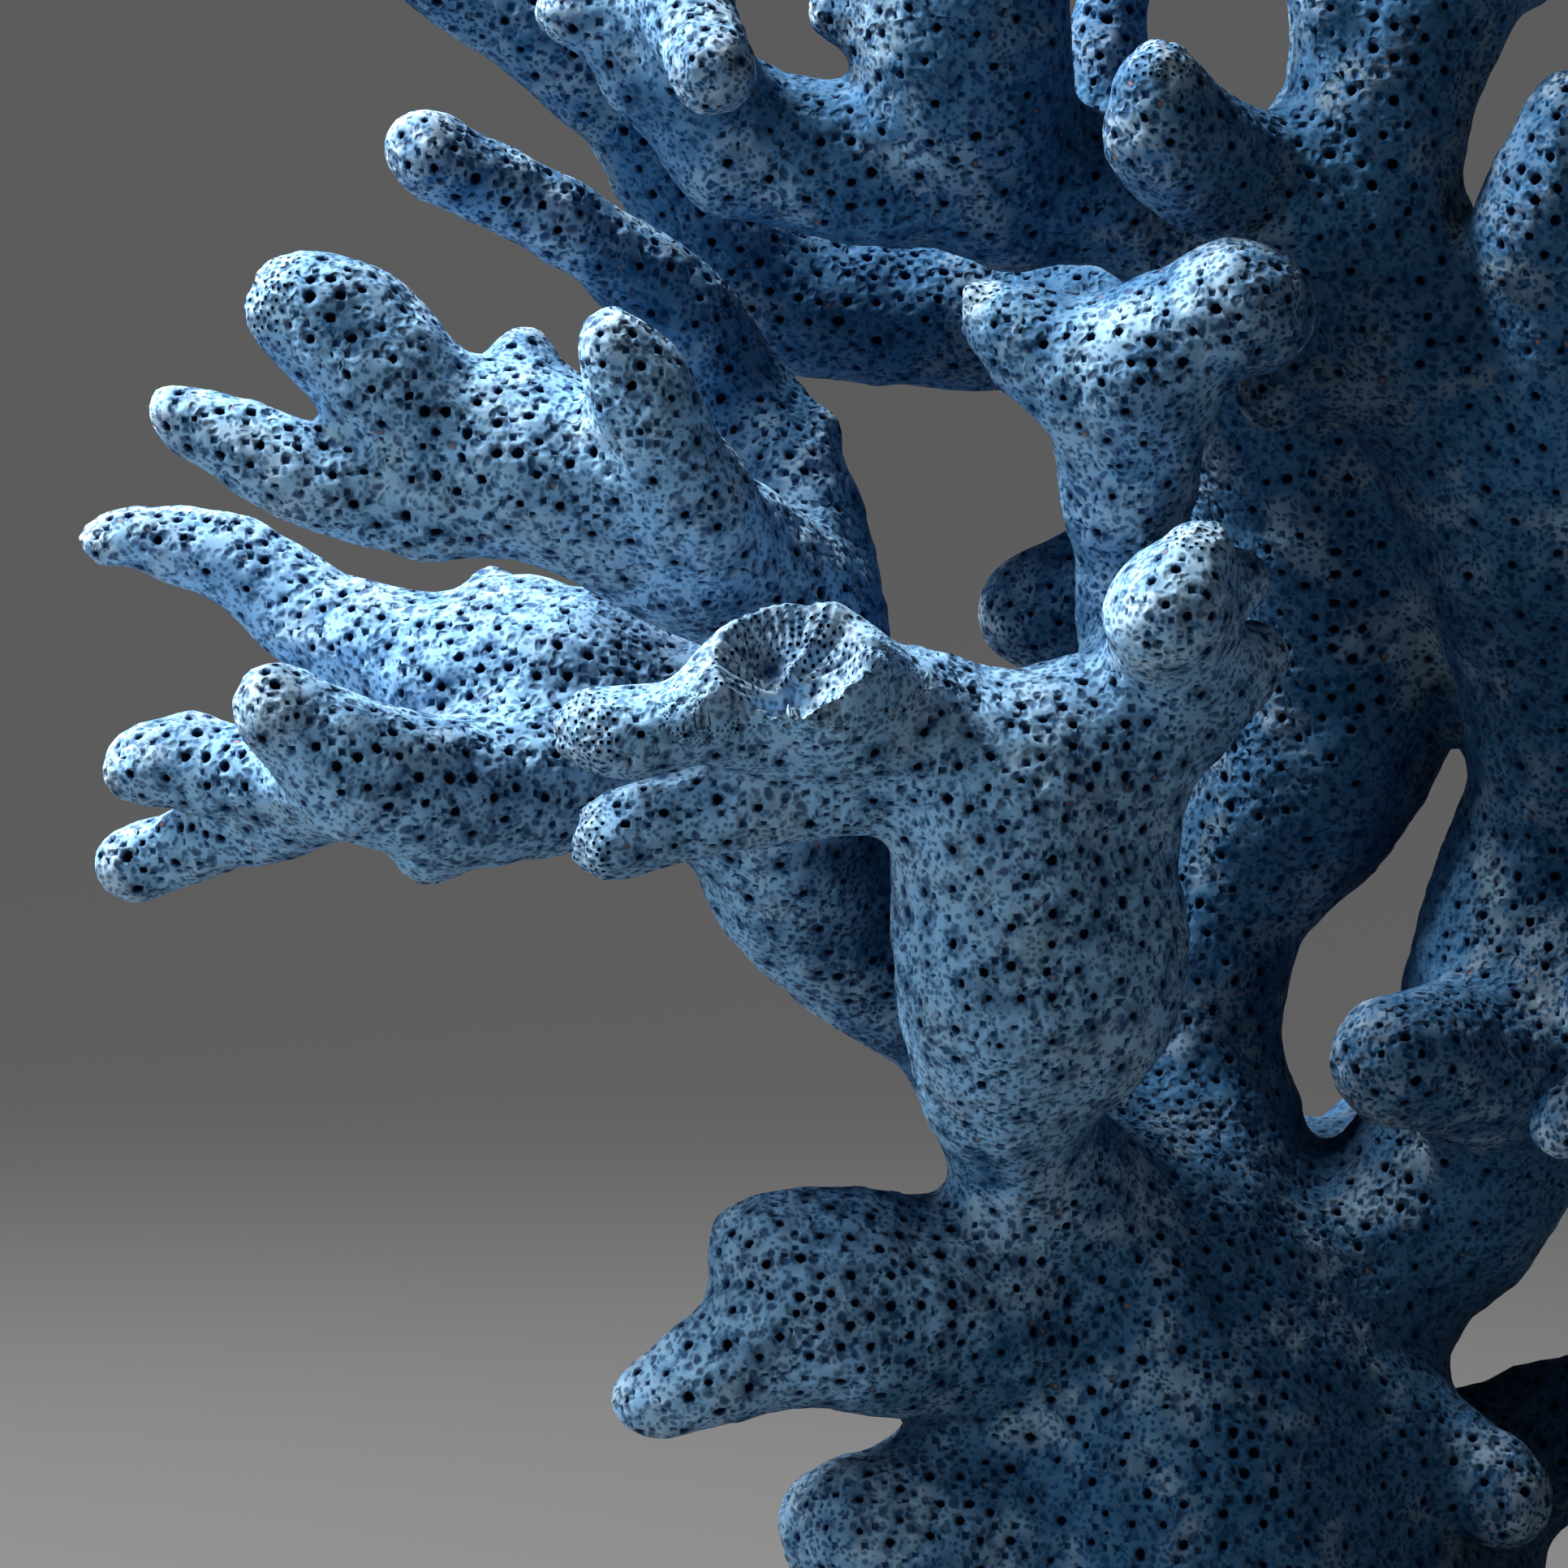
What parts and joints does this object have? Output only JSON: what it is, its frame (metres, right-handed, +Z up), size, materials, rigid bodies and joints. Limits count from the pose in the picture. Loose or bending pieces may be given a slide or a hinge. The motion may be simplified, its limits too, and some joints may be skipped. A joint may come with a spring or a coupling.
{
  "type": "blue ridge coral",
  "caption": "Dry skeleton of blue ridge coral: a branching colony of blunt lobed fingers on a broad foot cut off flat to rest on.",
  "frame": {"origin": "middle of the flat face where the foot is cut off, on the surface that it rests on", "axes": "+Z up, the way the colony grows; -Y towards the side that the picture shows; +X to the right of it"},
  "size_m": [0.1397, 0.0916, 0.1363],
  "materials": {
    "coral": "matt, chalky and porous: blue with a whitish net around dark blue pores"
  },
  "bodies": {
    "root": {"foot": "coral", "low_left_branch": "coral", "low_right_branch": "coral", "low_back_branch": "coral", "front_stem": "coral", "front_hand": "coral", "mitten": "coral", "left_stem": "coral", "left_hand": "coral", "long_finger": "coral", "pale_hand": "coral", "centre_stem": "coral", "back_bough": "coral", "upper_hand": "coral", "front_bough": "coral", "right_stem": "coral", "right_arm": "coral", "right_crown": "coral", "front_right_branch": "coral", "far_right_branch": "coral", "upper_right_branch": "coral", "crown": "coral", "back_stem": "coral", "back_right_branch": "coral"}
  },
  "joints": []
}
